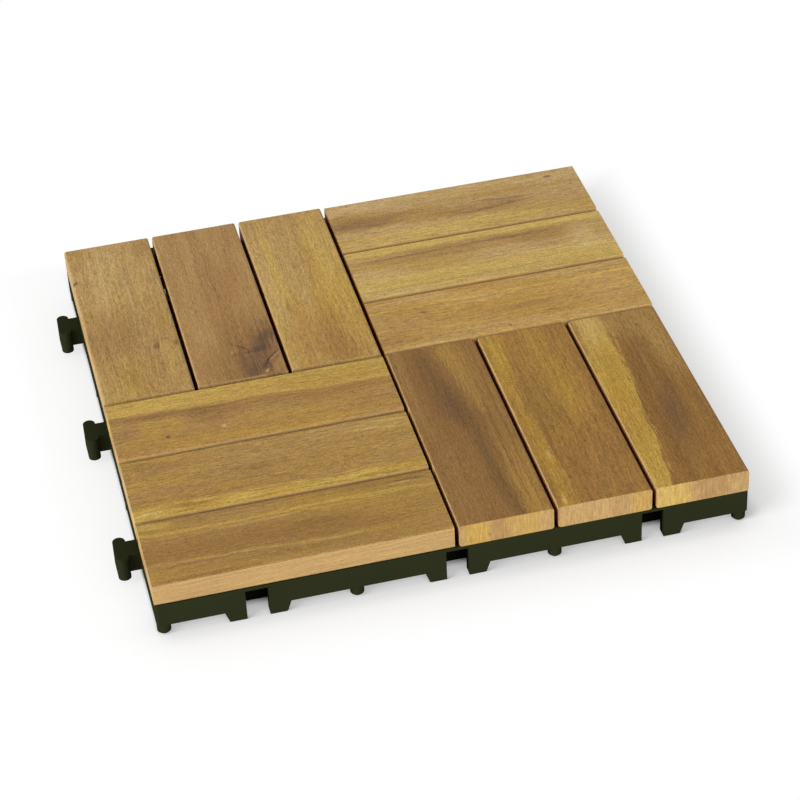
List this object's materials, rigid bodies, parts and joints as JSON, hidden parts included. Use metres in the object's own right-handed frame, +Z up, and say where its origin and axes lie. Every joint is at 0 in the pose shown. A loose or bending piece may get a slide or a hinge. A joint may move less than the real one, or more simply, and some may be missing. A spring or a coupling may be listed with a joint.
{
  "type": "interlocking deck tile",
  "caption": "Square wooden deck tile: slats in four quarters, turned by a right angle each, on a moulded grid base with pegs and sockets that join it to its neighbours.",
  "frame": {"origin": "middle of the tile, on the ground that its feet stand on", "axes": "+Z up, +X to the tile's right side, +Y to its back; pegs on the left and back, sockets on the front and right"},
  "size_m": [0.3114, 0.3114, 0.0319],
  "materials": {
    "base_plastic": "moulded, dark olive black",
    "slat_wood": "oiled hardwood, planed",
    "screw_steel": "bright zinc"
  },
  "bodies": {
    "root": {"base_grid": "base_plastic", "slat_front_left_1": "slat_wood", "slat_front_left_2": "slat_wood", "slat_front_left_3": "slat_wood", "slat_front_right_1": "slat_wood", "slat_front_right_2": "slat_wood", "slat_front_right_3": "slat_wood", "slat_back_right_1": "slat_wood", "slat_back_right_2": "slat_wood", "slat_back_right_3": "slat_wood", "slat_back_left_1": "slat_wood", "slat_back_left_2": "slat_wood", "slat_back_left_3": "slat_wood", "screws": "screw_steel"}
  },
  "joints": []
}
